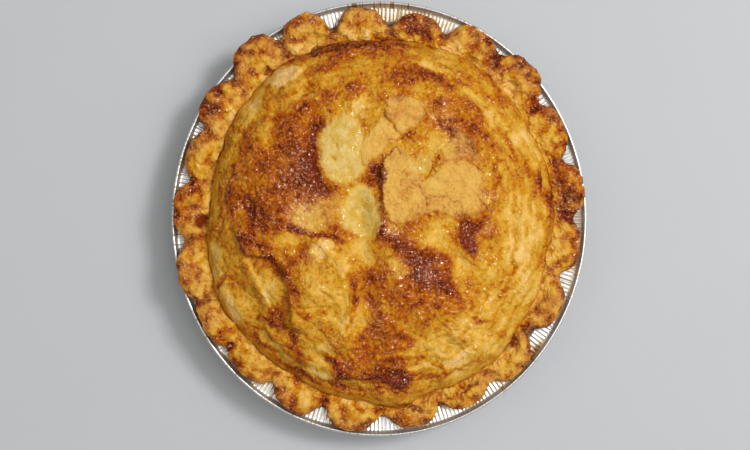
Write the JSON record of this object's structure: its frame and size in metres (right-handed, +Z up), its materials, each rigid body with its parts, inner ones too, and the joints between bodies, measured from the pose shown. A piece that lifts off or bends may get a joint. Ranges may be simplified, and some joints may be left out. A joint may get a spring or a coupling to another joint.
{
  "type": "apple pie in its foil tin",
  "caption": "Whole double-crust apple pie with a tall uneven lid and a fluted border, baked in a round pleated foil tin.",
  "frame": {"origin": "on the table, under the middle of the tin", "axes": "+Z up; +Y is the picture's up, the slightly longer way of the tin; +X is the picture's right"},
  "size_m": [0.2388, 0.2502, 0.0735],
  "materials": {
    "baked_crust": "golden-brown baked pastry, uneven, with glossy dark juice spots",
    "foil": "thin bright foil, pleated"
  },
  "bodies": {
    "root": {"apple_pie": "baked_crust", "foil_tin": "foil"}
  },
  "joints": []
}
